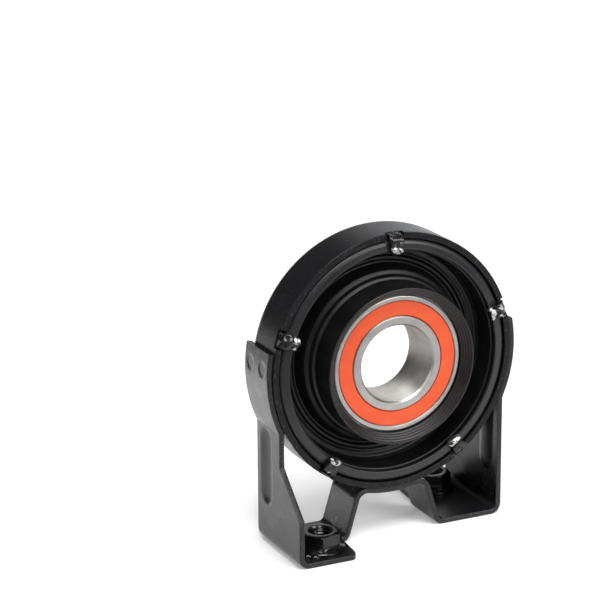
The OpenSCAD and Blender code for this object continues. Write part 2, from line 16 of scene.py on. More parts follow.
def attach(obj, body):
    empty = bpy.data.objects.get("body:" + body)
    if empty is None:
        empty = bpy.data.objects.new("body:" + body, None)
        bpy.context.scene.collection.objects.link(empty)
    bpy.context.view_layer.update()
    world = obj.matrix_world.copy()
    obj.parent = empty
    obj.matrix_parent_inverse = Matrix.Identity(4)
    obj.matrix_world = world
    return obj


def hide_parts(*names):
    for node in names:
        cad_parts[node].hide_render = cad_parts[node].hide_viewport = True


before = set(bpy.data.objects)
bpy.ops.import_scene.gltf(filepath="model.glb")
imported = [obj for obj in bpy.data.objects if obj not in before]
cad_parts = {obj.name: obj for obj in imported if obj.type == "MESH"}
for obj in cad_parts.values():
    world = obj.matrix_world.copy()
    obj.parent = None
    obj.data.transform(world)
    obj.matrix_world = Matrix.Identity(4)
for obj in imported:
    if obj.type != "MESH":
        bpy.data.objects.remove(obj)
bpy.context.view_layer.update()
MM = 0.001

# %% [markdown]
# ## Sizes
# The same measures that the solids are built from, in millimetres. The shaft runs along Y, the front
# with the clamp tabs faces -Y, and the ground is at Z = 0. Y is measured from the middle of the
# bracket's strip. That lies a little ahead of the middle of the part, because the right foot
# reaches further back than the left one reaches forward, so every mesh is shifted once, at the end.

# %% Sizes shared by several pieces
AXIS = 81.4
SHEET = 2.5
HALF_STRIP = 11.7
DRUM_R, DRUM_IN = 58.75, 55.85
DRUM_FRONT, DRUM_BACK = -12.6, 11.5
SEAT = 0.03
LEFT_REACH, RIGHT_REACH = 31.8, 37.0
SHIFT = np.array([0, (LEFT_REACH - RIGHT_REACH) / 2, 0])
WRAP_MID = DRUM_R + SEAT + SHEET / 2
FACE_Y, OUTER_BACK, INNER_BACK = -15.5, 4.5, 8.0
BALL_Y = FACE_Y + 10.0
TABS = 5
TAB_ANGLES = np.radians(90 + 360 / TABS * np.arange(TABS))
print("drum:", 2 * DRUM_R, "mm across,", DRUM_BACK - DRUM_FRONT, "mm deep, shaft", AXIS, "mm up")

# %% [markdown]
# ## Helpers for shapes
# Every new piece is a grid of points: rows along one parameter, columns along the other. One function
# joins a grid with quads, one turns a list of corners into an outline with rounded corners, one turns
# an outline round the shaft, and one puts the result into a mesh. Whole arrays are worked out at
# once, so there is no loop over points.

# %% Grids, outlines and meshes
def grid_quads(rows, columns, close_rows=False, close_columns=True):
    """Quads between neighbouring points of a rows x columns grid, wrapped round where it is closed."""
    index = np.arange(rows * columns).reshape(rows, columns)
    if close_rows:
        index = np.vstack([index, index[:1]])
    if close_columns:
        index = np.hstack([index, index[:, :1]])
    corners = (index[:-1, :-1], index[1:, :-1], index[1:, 1:], index[:-1, 1:])
    return np.stack(corners, axis=-1).reshape(-1, 4)


def rounded(corners, turn=math.radians(12)):
    """Closed outline through corners (r, y, radius): each corner becomes the arc of that radius which
    touches both of its sides. Returns the points and 1 for points on an arc, 0 for the others."""
    points = np.array([c[:2] for c in corners], float)
    outline, edge = [], []
    for i, (r, y, radius) in enumerate(corners):
        here = points[i]
        back = points[i - 1] - here
        ahead = points[(i + 1) % len(points)] - here
        room = min(np.linalg.norm(back), np.linalg.norm(ahead)) / 2
        back, ahead = back / np.linalg.norm(back), ahead / np.linalg.norm(ahead)
        half = math.acos(np.clip(back @ ahead, -1, 1)) / 2
        if radius == 0 or half > 1.55:
            outline.append(here[None])
            edge.append([0.0])
            continue
        cut = min(radius / math.tan(half), room * 0.98)
        radius = cut * math.tan(half)
        middle = (back + ahead) / np.linalg.norm(back + ahead)
        centre = here + middle * radius / math.sin(half)
        start, end = here + back * cut - centre, here + ahead * cut - centre
        a = math.atan2(start[1], start[0])
        sweep = (math.atan2(end[1], end[0]) - a + math.pi) % (2 * math.pi) - math.pi
        angle = a + sweep * np.linspace(0, 1, max(3, math.ceil(abs(sweep) / turn) + 1))
        arc = centre + radius * np.column_stack([np.cos(angle), np.sin(angle)])
        spare = min(cut * 0.35, max(room - cut, 0) * 0.9)
        outline += [(here + back * (cut + spare))[None], arc, (here + ahead * (cut + spare))[None]]
        edge += [[0.0], [1.0] * len(arc), [0.0]]
    return np.vstack(outline), np.concatenate(edge)


def lathe(outline, theta):
    """Turn an outline of (r, y) round the shaft: x = r cos, z = axis + r sin of the angle."""
    r, y = outline[:, 0], outline[:, 1]
    x = np.cos(theta)[:, None] * r
    z = AXIS + np.sin(theta)[:, None] * r
    return np.stack([x, np.broadcast_to(y, x.shape), z], axis=-1)


def outward(points, quads):
    """The quads, turned over if the closed shape that they make has a negative volume."""
    a, b, c, d = (points[quads[:, k]] for k in range(4))
    volume = np.einsum("ij,ij->i", a, np.cross(b, c) + np.cross(c, d)).sum()
    return quads if volume > 0 else quads[:, ::-1]


def make_mesh(name, points, faces, edge=None, sharp=40):
    """A smooth-shaded mesh object from points in millimetres; edge is kept as a point attribute."""
    mesh = bpy.data.meshes.new(name)
    mesh.from_pydata(((points + SHIFT) * MM).tolist(), [], [list(f) for f in faces])
    if edge is not None:
        values = mesh.attributes.new("edge", "FLOAT", "POINT").data
        values.foreach_set("value", np.ravel(edge).astype(np.float32))
    mesh.shade_smooth()
    mesh.set_sharp_from_angle(angle=math.radians(sharp))
    piece = bpy.data.objects.new(name, mesh)
    bpy.context.scene.collection.objects.link(piece)
    return piece


def turned(name, corners, segments=192):
    """A ring turned from an outline with rounded corners."""
    outline, edge = rounded(corners)
    theta = np.linspace(0, 2 * np.pi, segments, endpoint=False)
    points = lathe(outline, theta).reshape(-1, 3)
    quads = outward(points, grid_quads(segments, len(outline), close_rows=True))
    return make_mesh(name, points, quads, np.tile(edge, segments))


def fit(piece, body, slot, material, *nodes):
    """Let a piece ride on its body, stand for its CAD nodes and take its finish."""
    piece.data.materials.append(material)
    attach(piece, body)
    if nodes:
        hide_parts(*nodes)
    print(f"{piece.name}: {len(piece.data.vertices)} points, {len(piece.data.polygons)} faces on {body}")
    return piece


# %% [markdown]
# ## Helpers for finishes
# A finish is a Principled shader with a few nodes in front of it. One small function adds a node, sets
# it up and links it. Colours are written as sRGB hex values, as on a paint chart, and turned to the
# linear values that the renderer works in.

# %% Colours and nodes
def linear(hex_colour):
    """sRGB hex to linear RGBA: each channel c becomes ((c + 0.055) / 1.055) ** 2.4, or c / 12.92 if small."""
    c = np.array([int(hex_colour[i:i + 2], 16) for i in (1, 3, 5)]) / 255
    rgb = np.where(c <= 0.04045, c / 12.92, ((c + 0.055) / 1.055) ** 2.4)
    return (*rgb.tolist(), 1.0)


def add(tree, kind, inputs=None, **settings):
    """A node of a kind, with its settings; an input is linked where its value is a socket, else set."""
    made = tree.nodes.new("ShaderNode" + kind)
    for key, value in settings.items():
        setattr(made, key, value)
    for key, value in (inputs or {}).items():
        if isinstance(value, bpy.types.NodeSocket):
            tree.links.new(value, made.inputs[key])
        else:
            made.inputs[key].default_value = value
    return made


def new_finish(name, **values):
    """A material whose Principled shader has these socket values; returns it, its tree and the shader."""
    material = bpy.data.materials.new(name)
    material.use_nodes = True
    shader = material.node_tree.nodes["Principled BSDF"]
    for key, value in values.items():
        shader.inputs[key.replace("_", " ").title().replace("Ior", "IOR")].default_value = value
    return material, material.node_tree, shader


# %% [markdown]
# ### Black dip paint on pressed steel
# The bracket, drum and insert ring are pressed from sheet steel and dipped in black paint. The paint
# is thin and glossy on the rolled faces, with a slight orange peel (about 1.5 mm). A sheared edge is
# coarse, so the paint looks rougher there, with a few chips down to grey primer. The edge
# attribute says where those edges are.

# %% Black dip paint
def dip_paint(name, colour, chipped, roughness, edge_relief, edge_shine):
    """Black paint: clouds vary the roughness and orange peel gives bump. Where the edge attribute is 1,
    the surface is coarse, dull and chipped."""
    material, tree, shader = new_finish(name, ior=1.5)
    place = add(tree, "TexCoord").outputs["Object"]
    edge = add(tree, "Attribute", attribute_name="edge").outputs["Fac"]
    cloud = add(tree, "TexNoise", {"Vector": place, "Scale": 1 / (14 * MM), "Detail": 5.0, "Roughness": 0.6})
    grit = add(tree, "TexNoise", {"Vector": place, "Scale": 1 / (1.2 * MM), "Detail": 3.0, "Roughness": 0.6})
    peel = add(tree, "TexNoise", {"Vector": place, "Scale": 1 / (1.5 * MM), "Detail": 2.0})
    chips = add(tree, "MapRange", {"Value": grit.outputs["Fac"], "From Min": 0.58, "From Max": 0.7})
    wear = add(tree, "Math", {0: chips.outputs["Result"], 1: edge}, operation="MULTIPLY")
    shade = add(tree, "MixRGB", {"Fac": wear.outputs[0], "Color1": linear(colour), "Color2": linear(chipped)})
    tree.links.new(shade.outputs["Color"], shader.inputs["Base Color"])
    gloss = add(tree, "MapRange", {"Value": cloud.outputs["Fac"], "From Min": 0.3, "From Max": 0.7,
                                   "To Min": roughness - 0.05, "To Max": roughness + 0.06})
    dull = add(tree, "Math", {0: edge, 1: 0.12, 2: gloss.outputs["Result"]}, operation="MULTIPLY_ADD")
    tree.links.new(dull.outputs[0], shader.inputs["Roughness"])
    shine = add(tree, "Math", {0: edge, 1: edge_shine - 0.5, 2: 0.5}, operation="MULTIPLY_ADD")
    tree.links.new(shine.outputs[0], shader.inputs["Specular IOR Level"])
    relief = add(tree, "Math", {0: edge, 1: edge_relief}, operation="MULTIPLY")
    coarse = add(tree, "Math", {0: grit.outputs["Fac"], 1: relief.outputs[0]}, operation="MULTIPLY")
    height = add(tree, "Math", {0: peel.outputs["Fac"], 1: 0.012, 2: coarse.outputs[0]},
                 operation="MULTIPLY_ADD")
    bump = add(tree, "Bump", {"Height": height.outputs[0], "Strength": 1.0, "Distance": MM})
    tree.links.new(bump.outputs["Normal"], shader.inputs["Normal"])
    return material


bracket_paint = dip_paint("black_dip_paint_on_folded_steel", "#131315", "#454549", 0.29, 0.15, 0.45)
drum_paint = dip_paint("black_dip_paint_on_drawn_steel", "#131315", "#3a3a3e", 0.27, 0.25, 0.2)
insert_paint = dip_paint("black_dip_paint_on_pressed_ring", "#1a1a1c", "#2a2a2c", 0.27, 0.02, 0.5)
nut_paint = dip_paint("black_dip_paint_on_machined_nut", "#0b0b0c", "#454549", 0.2, 0.15, 0.45)
print("paints:", bracket_paint.name, drum_paint.name, insert_paint.name, nut_paint.name)

# %% [markdown]
# ### Moulded rubber
# The bellows is black natural rubber from a polished mould: matte to satin, with a faint grain (about
# 0.6 mm) and a greyish bloom in soft clouds. The seals are orange-red nitrile rubber bonded to a thin
# washer: smooth and a little glossier.

# %% Rubber
def rubber(name, colour, bloom, roughness, shine, grain_mm, grain_depth):
    """Moulded rubber: a soft cloud mixes in the bloom and the roughness, fine noise gives the grain."""
    material, tree, shader = new_finish(name, ior=1.52, specular_ior_level=shine)
    place = add(tree, "TexCoord").outputs["Object"]
    cloud = add(tree, "TexNoise", {"Vector": place, "Scale": 1 / (9 * MM), "Detail": 6.0, "Roughness": 0.55})
    share = add(tree, "MapRange", {"Value": cloud.outputs["Fac"], "From Min": 0.35, "From Max": 0.75})
    shade = add(tree, "MixRGB", {"Fac": share.outputs["Result"], "Color1": linear(colour),
                                 "Color2": linear(bloom)})
    tree.links.new(shade.outputs["Color"], shader.inputs["Base Color"])
    gloss = add(tree, "MapRange", {"Value": cloud.outputs["Fac"], "From Min": 0.3, "From Max": 0.7,
                                   "To Min": roughness - 0.05, "To Max": roughness + 0.08})
    tree.links.new(gloss.outputs["Result"], shader.inputs["Roughness"])
    grain = add(tree, "TexNoise", {"Vector": place, "Scale": 1 / (grain_mm * MM), "Detail": 3.0})
    bump = add(tree, "Bump", {"Height": grain.outputs["Fac"], "Strength": grain_depth, "Distance": 0.1 * MM})
    tree.links.new(bump.outputs["Normal"], shader.inputs["Normal"])
    return material


bellows_rubber = rubber("moulded_black_rubber", "#0a0a0b", "#121213", 0.42, 0.45, 0.6, 0.12)
seal_rubber = rubber("moulded_nitrile_seal", "#e0522b", "#ea6037", 0.45, 0.35, 0.5, 0.06)
print("rubbers:", bellows_rubber.name, seal_rubber.name)

# %% [markdown]
# ### Ground and bare steel
# The bearing rings are hardened steel, ground all over. Grinding leaves fine lines: rings on the end
# faces, and streaks along the bore. The real lines are a few hundredths of a millimetre apart, too
# fine to show, so they are drawn about 0.5 mm apart. The balls are polished, and the cage and the
# sleeve are pressed from plain sheet.

# %% Ground and bare steel
def steel(name, dark, light, roughness, line_mm, line_depth, stretch, ground=0.0):
    """Bare metal: noise in coordinates squeezed along the shaft gives streaks along the bore and
    grain on the faces, which vary colour, roughness and bump. Where a wall runs along the shaft,
    lines ground round it spread a reflection across themselves: anisotropy, turned by a quarter."""
    material, tree, shader = new_finish(name, metallic=1.0)
    place = add(tree, "TexCoord").outputs["Object"]
    squeezed = add(tree, "Mapping", {"Vector": place, "Scale": (1, stretch, 1)}).outputs["Vector"]
    streak = add(tree, "TexNoise", {"Vector": squeezed, "Scale": 1 / (line_mm * MM), "Detail": 4.0,
                                    "Roughness": 0.7})
    cloud = add(tree, "TexNoise", {"Vector": place, "Scale": 1 / (7 * MM), "Detail": 3.0})
    both = add(tree, "Math", {0: streak.outputs["Fac"], 1: cloud.outputs["Fac"]}, operation="MULTIPLY")
    share = add(tree, "MapRange", {"Value": both.outputs[0], "From Min": 0.12, "From Max": 0.4})
    shade = add(tree, "MixRGB", {"Fac": share.outputs["Result"], "Color1": linear(dark),
                                 "Color2": linear(light)})
    tree.links.new(shade.outputs["Color"], shader.inputs["Base Color"])
    gloss = add(tree, "MapRange", {"Value": streak.outputs["Fac"], "From Min": 0.3, "From Max": 0.7,
                                   "To Min": roughness - 0.05, "To Max": roughness + 0.07}).outputs["Result"]
    if ground:
        tangent = add(tree, "Tangent", direction_type="RADIAL", axis="Y")
        tree.links.new(tangent.outputs["Tangent"], shader.inputs["Tangent"])
        shader.inputs["Anisotropic Rotation"].default_value = 0.25
        facing = add(tree, "SeparateXYZ", {"Vector": add(tree, "TexCoord").outputs["Normal"]}).outputs["Y"]
        facing = add(tree, "Math", {0: facing}, operation="ABSOLUTE").outputs[0]
        spread = add(tree, "MapRange", {"Value": facing, "From Min": 0.3, "From Max": 0.7,
                                        "To Min": ground, "To Max": 0.0}).outputs["Result"]
        tree.links.new(spread, shader.inputs["Anisotropic"])
        gloss = add(tree, "Math", {0: spread, 1: 0.28, 2: gloss}, operation="MULTIPLY_ADD").outputs[0]
    tree.links.new(gloss, shader.inputs["Roughness"])
    bump = add(tree, "Bump", {"Height": streak.outputs["Fac"], "Strength": line_depth, "Distance": 0.05 * MM})
    tree.links.new(bump.outputs["Normal"], shader.inputs["Normal"])
    return material


ring_steel = steel("ground_bearing_steel", "#aaa7a4", "#c6c3bf", 0.36, 0.5, 0.06, 0.03, 0.9)
ball_steel = steel("polished_ball_steel", "#c4c2bf", "#d8d6d3", 0.12, 0.5, 0.03, 1.0)
plain_steel = steel("pressed_bright_steel", "#8d8c8a", "#b2b0ad", 0.38, 0.6, 0.15, 1.0)
print("steels:", ring_steel.name, ball_steel.name, plain_steel.name)

# %% [markdown]
# ### Crumpled paint on the clamp tabs
# The tabs are bent and struck after painting. That wrinkles the glossy black paint (a few mm from
# crest to crest) and breaks it on the crests, where bright steel shows. The tips are struck hardest,
# so more of them is bare.


# %% Crumpled paint
def crumpled_paint(name, bare_above, wrinkle_mm):
    """Black paint with wrinkles: one noise is both the height of the bump and, where it lies above a
    level, the share of bare steel in the colour, the metal and the roughness."""
    material, tree, shader = new_finish(name, ior=1.5)
    place = add(tree, "TexCoord").outputs["Object"]
    crest = add(tree, "TexNoise", {"Vector": place, "Scale": 1 / (3.6 * MM), "Detail": 2.0,
                                   "Roughness": 0.4})
    bare = add(tree, "MapRange", {"Value": crest.outputs["Fac"], "From Min": bare_above,
                                  "From Max": bare_above + 0.06}).outputs["Result"]
    shade = add(tree, "MixRGB", {"Fac": bare, "Color1": linear("#131315"), "Color2": linear("#c9c7c4")})
    tree.links.new(shade.outputs["Color"], shader.inputs["Base Color"])
    tree.links.new(bare, shader.inputs["Metallic"])
    gloss = add(tree, "MapRange", {"Value": bare, "To Min": 0.2, "To Max": 0.36})
    tree.links.new(gloss.outputs["Result"], shader.inputs["Roughness"])
    bump = add(tree, "Bump", {"Height": crest.outputs["Fac"], "Strength": 1.0, "Distance": wrinkle_mm * MM})
    tree.links.new(bump.outputs["Normal"], shader.inputs["Normal"])
    return material


tab_paint = crumpled_paint("crumpled_black_paint_on_tabs", 0.62, 1.1)
tip_paint = crumpled_paint("struck_bare_tab_ends", 0.44, 1.1)
print("tab finishes:", tab_paint.name, tip_paint.name)

# %% [markdown]
# ## Bearing rings and seals
# The rings are turned and ground, so each is an outline turned round the shaft, with small rounded
# corners that catch the light. The outer ring has a raceway groove and a step for each seal, and
# the inner ring is wider, with a deep chamfer at the bore.

# %% Rings
PITCH_R = 24.25
BALL_R = 3.969
RACE_R = BALL_R * 1.03
RACE_SHIFT = RACE_R - BALL_R - 0.05


def raceway(middle_r, start, end):
    """Groove points on the circle of the raceway, from one angle to another, with no rounding."""
    angle = np.radians(np.linspace(start, end, 13))
    return [(middle_r + RACE_R * math.cos(a), BALL_Y + RACE_R * math.sin(a), 0) for a in angle]


groove = math.degrees(math.acos((26.9 - PITCH_R + RACE_SHIFT) / RACE_R))
outer_race = turned("bearing_outer_ring", [
    (28.9, FACE_Y, 0.15), (31.0, FACE_Y, 0.7), (31.0, OUTER_BACK, 0.7), (28.9, OUTER_BACK, 0.15),
    (28.9, OUTER_BACK - 2.2, 0.1), (26.9, OUTER_BACK - 2.2, 0.1),
    *raceway(PITCH_R - RACE_SHIFT, groove, -groove),
    (26.9, FACE_Y + 2.2, 0.1), (28.9, FACE_Y + 2.2, 0.1)])
fit(outer_race, "housing", "ground_steel", ring_steel, "outer_race")

groove = math.degrees(math.acos((21.45 - PITCH_R - RACE_SHIFT) / RACE_R))
inner_race = turned("bearing_inner_ring", [
    (18.3, FACE_Y, 0.2), (21.45, FACE_Y, 0.3),
    *raceway(PITCH_R + RACE_SHIFT, 360 - groove, groove),
    (21.45, INNER_BACK, 0.3), (18.3, INNER_BACK, 0.2),
    (17.5, INNER_BACK - 0.9, 0.3), (17.5, FACE_Y + 0.9, 0.3)])
fit(inner_race, "inner_race", "ground_steel", ring_steel, "inner_race")

# %% [markdown]
# The seal is a rubber washer: its outer edge sits in the step of the outer ring, its face is flat, and
# its lip runs just clear of the inner ring. Both edges are stepped back, which shows as a thin dark
# line beside the rings. The rear seal is the same outline, mirrored about the middle of the balls.

# %% Seals
SEAL_FACE = FACE_Y + 0.3
seal_outline = [
    (28.87, SEAL_FACE + 0.8, 0.1), (28.87, SEAL_FACE + 1.5, 0.2), (22.7, SEAL_FACE + 1.5, 0.2),
    (21.6, SEAL_FACE + 1.0, 0.1), (21.6, SEAL_FACE + 0.75, 0.05), (21.98, SEAL_FACE + 0.75, 0.08),
    (22.1, SEAL_FACE + 0.05, 0.16), (28.38, SEAL_FACE + 0.05, 0.16), (28.48, SEAL_FACE + 0.8, 0.08)]
front_seal = turned("front_lip_seal", seal_outline)
fit(front_seal, "housing", "seal_rubber", seal_rubber, "front_seal")
rear_seal = turned("rear_lip_seal", [(r, 2 * BALL_Y - y, radius) for r, y, radius in seal_outline[::-1]])
fit(rear_seal, "housing", "seal_rubber", seal_rubber, "rear_seal")

# %% [markdown]
# ## Rubber bellows
# One moulding: a hub over the bearing's sleeve with a flared rim and fine ridges, a thin waved web that
# lets the bearing float, and an outer leg bonded to the insert ring. As an outline with generous
# radii it can simply be turned round the shaft. The solid has one deep fold instead of the waves. The
# photograph shows the web lying far back in the drum, with a shoulder by the hub and two low waves,
# so the soft web is drawn that way here.

# %% Bellows
hub_r, hub_in, throat_r, sleeve_front = 35.66, 32.56, 31.5, -14.0
ridges = []
for i in range(4):
    r, y = throat_r + 0.79 * i, -16.1 - 1.05 * i
    ridges += [(r, y, 0.14), (r + 0.71, y - 0.37, 0.26)]
bellows = turned("rubber_bellows_moulding", [
    (throat_r, sleeve_front - SEAT, 0.1), *ridges, (34.66, -20.3, 0.5), (hub_r, -20.3, 0.5),
    (hub_r, -6.3, 0.7), (36.9, -5.5, 0.6), (37.6, -3.6, 0.8), (39.4, -2.4, 1.3), (41.7, 4.0, 0.8),
    (43.1, 1.8, 0.8), (44.3, 1.8, 0.8), (45.2, 3.3, 0.8), (46.7, 2.2, 0.9), (48.4, 2.1, 1.0),
    (49.79, 0.4, 0.8), (49.79, -10.07, 0.8), (52.79, -10.07, 0.1), (53.79, -9.07, 0.1),
    (53.79, 0.5, 1.0), (52.99, 5.6, 3.0),
    (44.6, 5.6, 1.0), (43.7, 4.6, 1.0), (42.2, 6.6, 0.8), (39.6, 6.6, 1.2), (37.6, 0.6, 1.5),
    (hub_r, 0.6, 0.5), (hub_r, 7.26, 0.6),
    (30.03, 7.26, 0.4), (30.03, 6.06, 0.1), (hub_in, 6.06, 0.05), (hub_in, sleeve_front - SEAT, 0.05)], 224)
fit(bellows, "housing", "black_rubber", bellows_rubber, "rubber_bellows")

# %% [markdown]
# ## Insert ring
# The bellows' outer leg is bonded to this pressed ring. Its lip is what the clamp tabs hold, and it
# shows as a grey band between the tabs.

# %% Insert ring
insert_ring = turned("clamped_insert_ring", [
    (55.82, -12.1, 2.9), (55.82, 7.5, 0.3), (53.82, 7.5, 0.3), (53.82, -10.1, 0.9),
    (50.62, -11.0, 0.6), (50.62, -13.0, 0.7)], 224)
fit(insert_ring, "housing", "insert_coat", insert_paint, "insert_ring")

# %% [markdown]
# ## Drum with clamp tabs
# The drum is drawn from sheet: a wall, a round back corner and a back flange. Its front edge is slit
# beside each tab. The slits could be cut with a boolean. Here the turned outline's front points are
# pushed back where the angle lies in a slit, so one clean surface carries the notches. Only the sheared
# front face counts as an edge for the paint, and the small radii beside it stay glossy.

# %% Drum
NOTCH_HALF = 4.4 / DRUM_R
outline, _ = rounded([
    (DRUM_IN, DRUM_FRONT, 0.35), (DRUM_R, DRUM_FRONT, 0.45), (DRUM_R, -8.0, 0), (DRUM_R, DRUM_BACK, 4.0),
    (47.0, DRUM_BACK, 0.4), (47.0, 8.6, 0.4), (DRUM_IN, 8.6, 1.1), (DRUM_IN, -8.0, 0)])
steps = np.array([-1.06, -1.0, -0.99, -0.7, -0.35, 0, 0.35, 0.7, 0.99, 1.0, 1.06]) * NOTCH_HALF
spread = np.linspace(0.1, 1.156, 36)
theta = np.sort((TAB_ANGLES[:, None] + np.concatenate([steps, spread])).ravel() % (2 * np.pi))
off = np.abs((theta[:, None] - TAB_ANGLES + np.pi) % (2 * np.pi) - np.pi).min(1)
notch = 3.0 * (off < NOTCH_HALF * 0.995)
wall = lathe(outline, theta)
wall[..., 1] += notch[:, None] * np.clip((-8.0 - outline[:, 1]) / (-8.0 - DRUM_FRONT), 0, 1)
points = wall.reshape(-1, 3)
edge = (outline[:, 1] < DRUM_FRONT + 0.1).astype(float)
drum = make_mesh("drawn_drum", points, outward(points, grid_quads(len(theta), len(outline), True)),
                 np.tile(edge, len(theta)))
fit(drum, "housing", "black_coat", drum_paint, "drum")

# %% [markdown]
# ### Clamp tabs
# Each tab is left standing at the drum's edge, bent in over the insert ring and struck at its end. It could
# be a curve with a bevel. A section carried along a path keeps round edges instead, and tells each
# point its place along and across the strip, so wrinkles are a product of two sines of those, with
# another phase for each tab. The same two functions make the bracket.


# %% Strip section and sweep
def strip_section(columns, turns=4):
    """Unit outline of a strip with round edges: share across, edge steps sideways and through, and side."""
    share = np.linspace(0, 1, columns)
    face = np.column_stack([share, 0 * share, 0 * share + 1, 0 * share + 1])
    angle = np.radians(np.linspace(90, 0, turns + 1))[1:]
    quarter = np.column_stack([0 * angle + 1, np.cos(angle), np.sin(angle), 0 * angle + 1])
    far = np.vstack([quarter, quarter[::-1] * [1, 1, -1, -1]])
    back = face[::-1] * [1, 1, -1, -1]
    near = (far * [0, -1, 1, 1])[::-1]
    return np.vstack([face, far, back, near])


def sweep(low, high, half, radius, section):
    """A strip section at each step of a path: across runs from low to high, through lies on the normal.
    across = low + radius + share (high - low - 2 radius) + radius * sideways step, and
    through = side (half - radius) + radius * through step. Returns across, through for each point."""
    share, sideways, through, side = section.T
    across = low[:, None] + radius[:, None] * (1 + sideways) + share * (high - low - 2 * radius)[:, None]
    depth = side * (half - radius)[:, None] + radius[:, None] * through
    return across, depth


# %% Tabs
TAB_HALF_WIDTH = 3.3
bend = np.radians(np.linspace(0, -90, 13))
path = np.vstack([
    [[57.15, -8.4], [57.15, -10.2], [57.15, -11.6]],
    np.column_stack([54.95 + 2.2 * np.cos(bend), -11.83 + 2.2 * np.sin(bend)]),
    [[54.4, -14.03], [53.6, -14.03], [52.7, -14.03]]])
normal = np.vstack([[[1, 0]] * 3, np.column_stack([np.cos(bend), np.sin(bend)]), [[0, -1]] * 3])
width = np.full(len(path), TAB_HALF_WIDTH)
width[-3:] = [3.2, 3.0, 2.8]
section = strip_section(9, 3)
half, radius = np.full(len(path), 1.0), np.full(len(path), 0.35)
across, depth = sweep(-width, width, half, radius, section)
phase = 1.7 * np.arange(TABS)[:, None, None]
run = np.r_[0, np.cumsum(np.linalg.norm(np.diff(path, axis=0), axis=1))][:, None]
wrinkle = 0.22 * np.sin(1.6 * across + phase) * np.sin(1.3 * run + 2 * phase)
depth = depth + wrinkle * np.clip((run - 2) / 2, 0, 1) * (section[:, 3] > 0)
r = path[:, :1] + normal[:, :1] * depth
y = path[:, 1:] + normal[:, 1:] * depth


def stand_round(r, across, y):
    """Copies of one shape at every tab's angle: out along the angle by r, and across it."""
    c, s = np.cos(TAB_ANGLES)[:, None, None], np.sin(TAB_ANGLES)[:, None, None]
    return np.stack([c * r - s * across, np.broadcast_to(y, r.shape), AXIS + s * r + c * across], -1)


def capped_copies(name, grids, edge):
    """Mesh of equal tubes, one per tab, each closed at its two ends by a flat face."""
    copies, rows, columns = grids.shape[:3]
    points = grids.reshape(-1, 3)
    one = outward(grids[0].reshape(-1, 3), grid_quads(rows, columns))
    ring = np.arange(columns)
    quads = (one + np.arange(copies)[:, None, None] * rows * columns).reshape(-1, 4).tolist()
    flip = 1 if one[0][1] == columns else -1
    for start in range(0, copies * rows * columns, rows * columns):
        quads += [(start + ring)[::flip].tolist(), (start + (rows - 1) * columns + ring)[::-flip].tolist()]
    return make_mesh(name, points, quads, np.tile(edge, copies))


tab_edge = np.broadcast_to(section[:, 1] != 0, across.shape).astype(float)
tabs = capped_copies("clamp_tabs", stand_round(r, across, y), tab_edge.ravel())
fit(tabs, "housing", "black_coat", tab_paint)

# %% [markdown]
# A struck tip spreads into a low dome. A sphere squeezed flat would be too even, so a quarter circle is
# turned round and its radius varies a little with the angle: no two tips are alike.

# %% Bare tab tips
lift = np.radians(np.linspace(0, 90, 9))
turn = np.linspace(0, 2 * np.pi, 28, endpoint=False)
level = np.vstack([[1.0, 1.6], np.column_stack([np.cos(lift) * 0.96 + 0.04, -1.9 * np.sin(lift)])])
uneven = 1 + 0.1 * np.sin(2 * turn + phase) + 0.07 * np.sin(3 * turn + 2 * phase)
dome_r = 50.9 + np.where(np.cos(turn) > 0, 2.3, 1.7) * np.cos(turn) * level[:, :1] * uneven
dome_across = 3.3 * np.sin(turn) * level[:, :1] * uneven
dome_y = -13.8 + 0.85 * level[:, 1:] * uneven
tips = capped_copies("bare_tab_tips", stand_round(dome_r, dome_across, dome_y), np.zeros(dome_r[0].size))
fit(tips, "housing", "black_coat", tip_paint)

# %% [markdown]
# ## Bracket
# One strip of 2.5 mm sheet, folded: ear, outer leg, foot, inner leg, saddle, and the same again
# turned by half a turn. The fold is a chain of arcs and straight runs in the XZ plane. The strip's
# section is carried along it, wider at the flared feet, and the bead and the spot-weld dimples are
# moves along the sheet's normal, as the press makes them.

# %% Fold line of the right half
lean = math.radians(16.5)
LEG_X, FOOT_BEND, SADDLE_BEND, INNER_X = 55.8, 5.0, 4.0, 22.2
foot_turn = np.array([INNER_X + FOOT_BEND * (1 - math.sin(lean)) / math.cos(lean), FOOT_BEND])
leg_dir = np.array([-math.sin(lean), math.cos(lean)])
shaft = np.array([0, AXIS])
start = np.array([INNER_X, 0]) + SADDLE_BEND * np.array([-math.cos(lean), -math.sin(lean)]) - shaft
along = start @ leg_dir
reach = (WRAP_MID + SHEET / 2 + SADDLE_BEND) ** 2 - (start @ start - along ** 2)
saddle_turn = shaft + start + (-along - math.sqrt(reach)) * leg_dir
saddle_angle = math.atan2(saddle_turn[0], AXIS - saddle_turn[1])
KINK = 3.0 + SHEET / 2
kink_x = LEG_X - SHEET / 2 + KINK
kink_turn = np.array([kink_x, AXIS - math.sqrt((WRAP_MID + KINK) ** 2 - kink_x ** 2)])
kink_angle = math.atan2(AXIS - kink_turn[1], kink_x)
EAR_ANGLE = math.radians(11)


def arc_run(centre, radius, start, end, way, step=0.7):
    """Points of an arc and the direction of the sheet's outer face, which is way times the radius."""
    angle = np.linspace(start, end, max(8, int(abs(end - start) * radius / step)))
    spoke = np.column_stack([np.cos(angle), np.sin(angle)])
    return centre + radius * spoke, way * spoke


def straight_run(start, end, normal, step=0.7):
    """Points between the ends of two arcs, without the ends themselves."""
    count = max(3, int(np.linalg.norm(end - start) / step))
    share = np.linspace(0, 1, count)[1:-1, None]
    return start + (end - start) * share, np.broadcast_to(normal, (count - 2, 2))


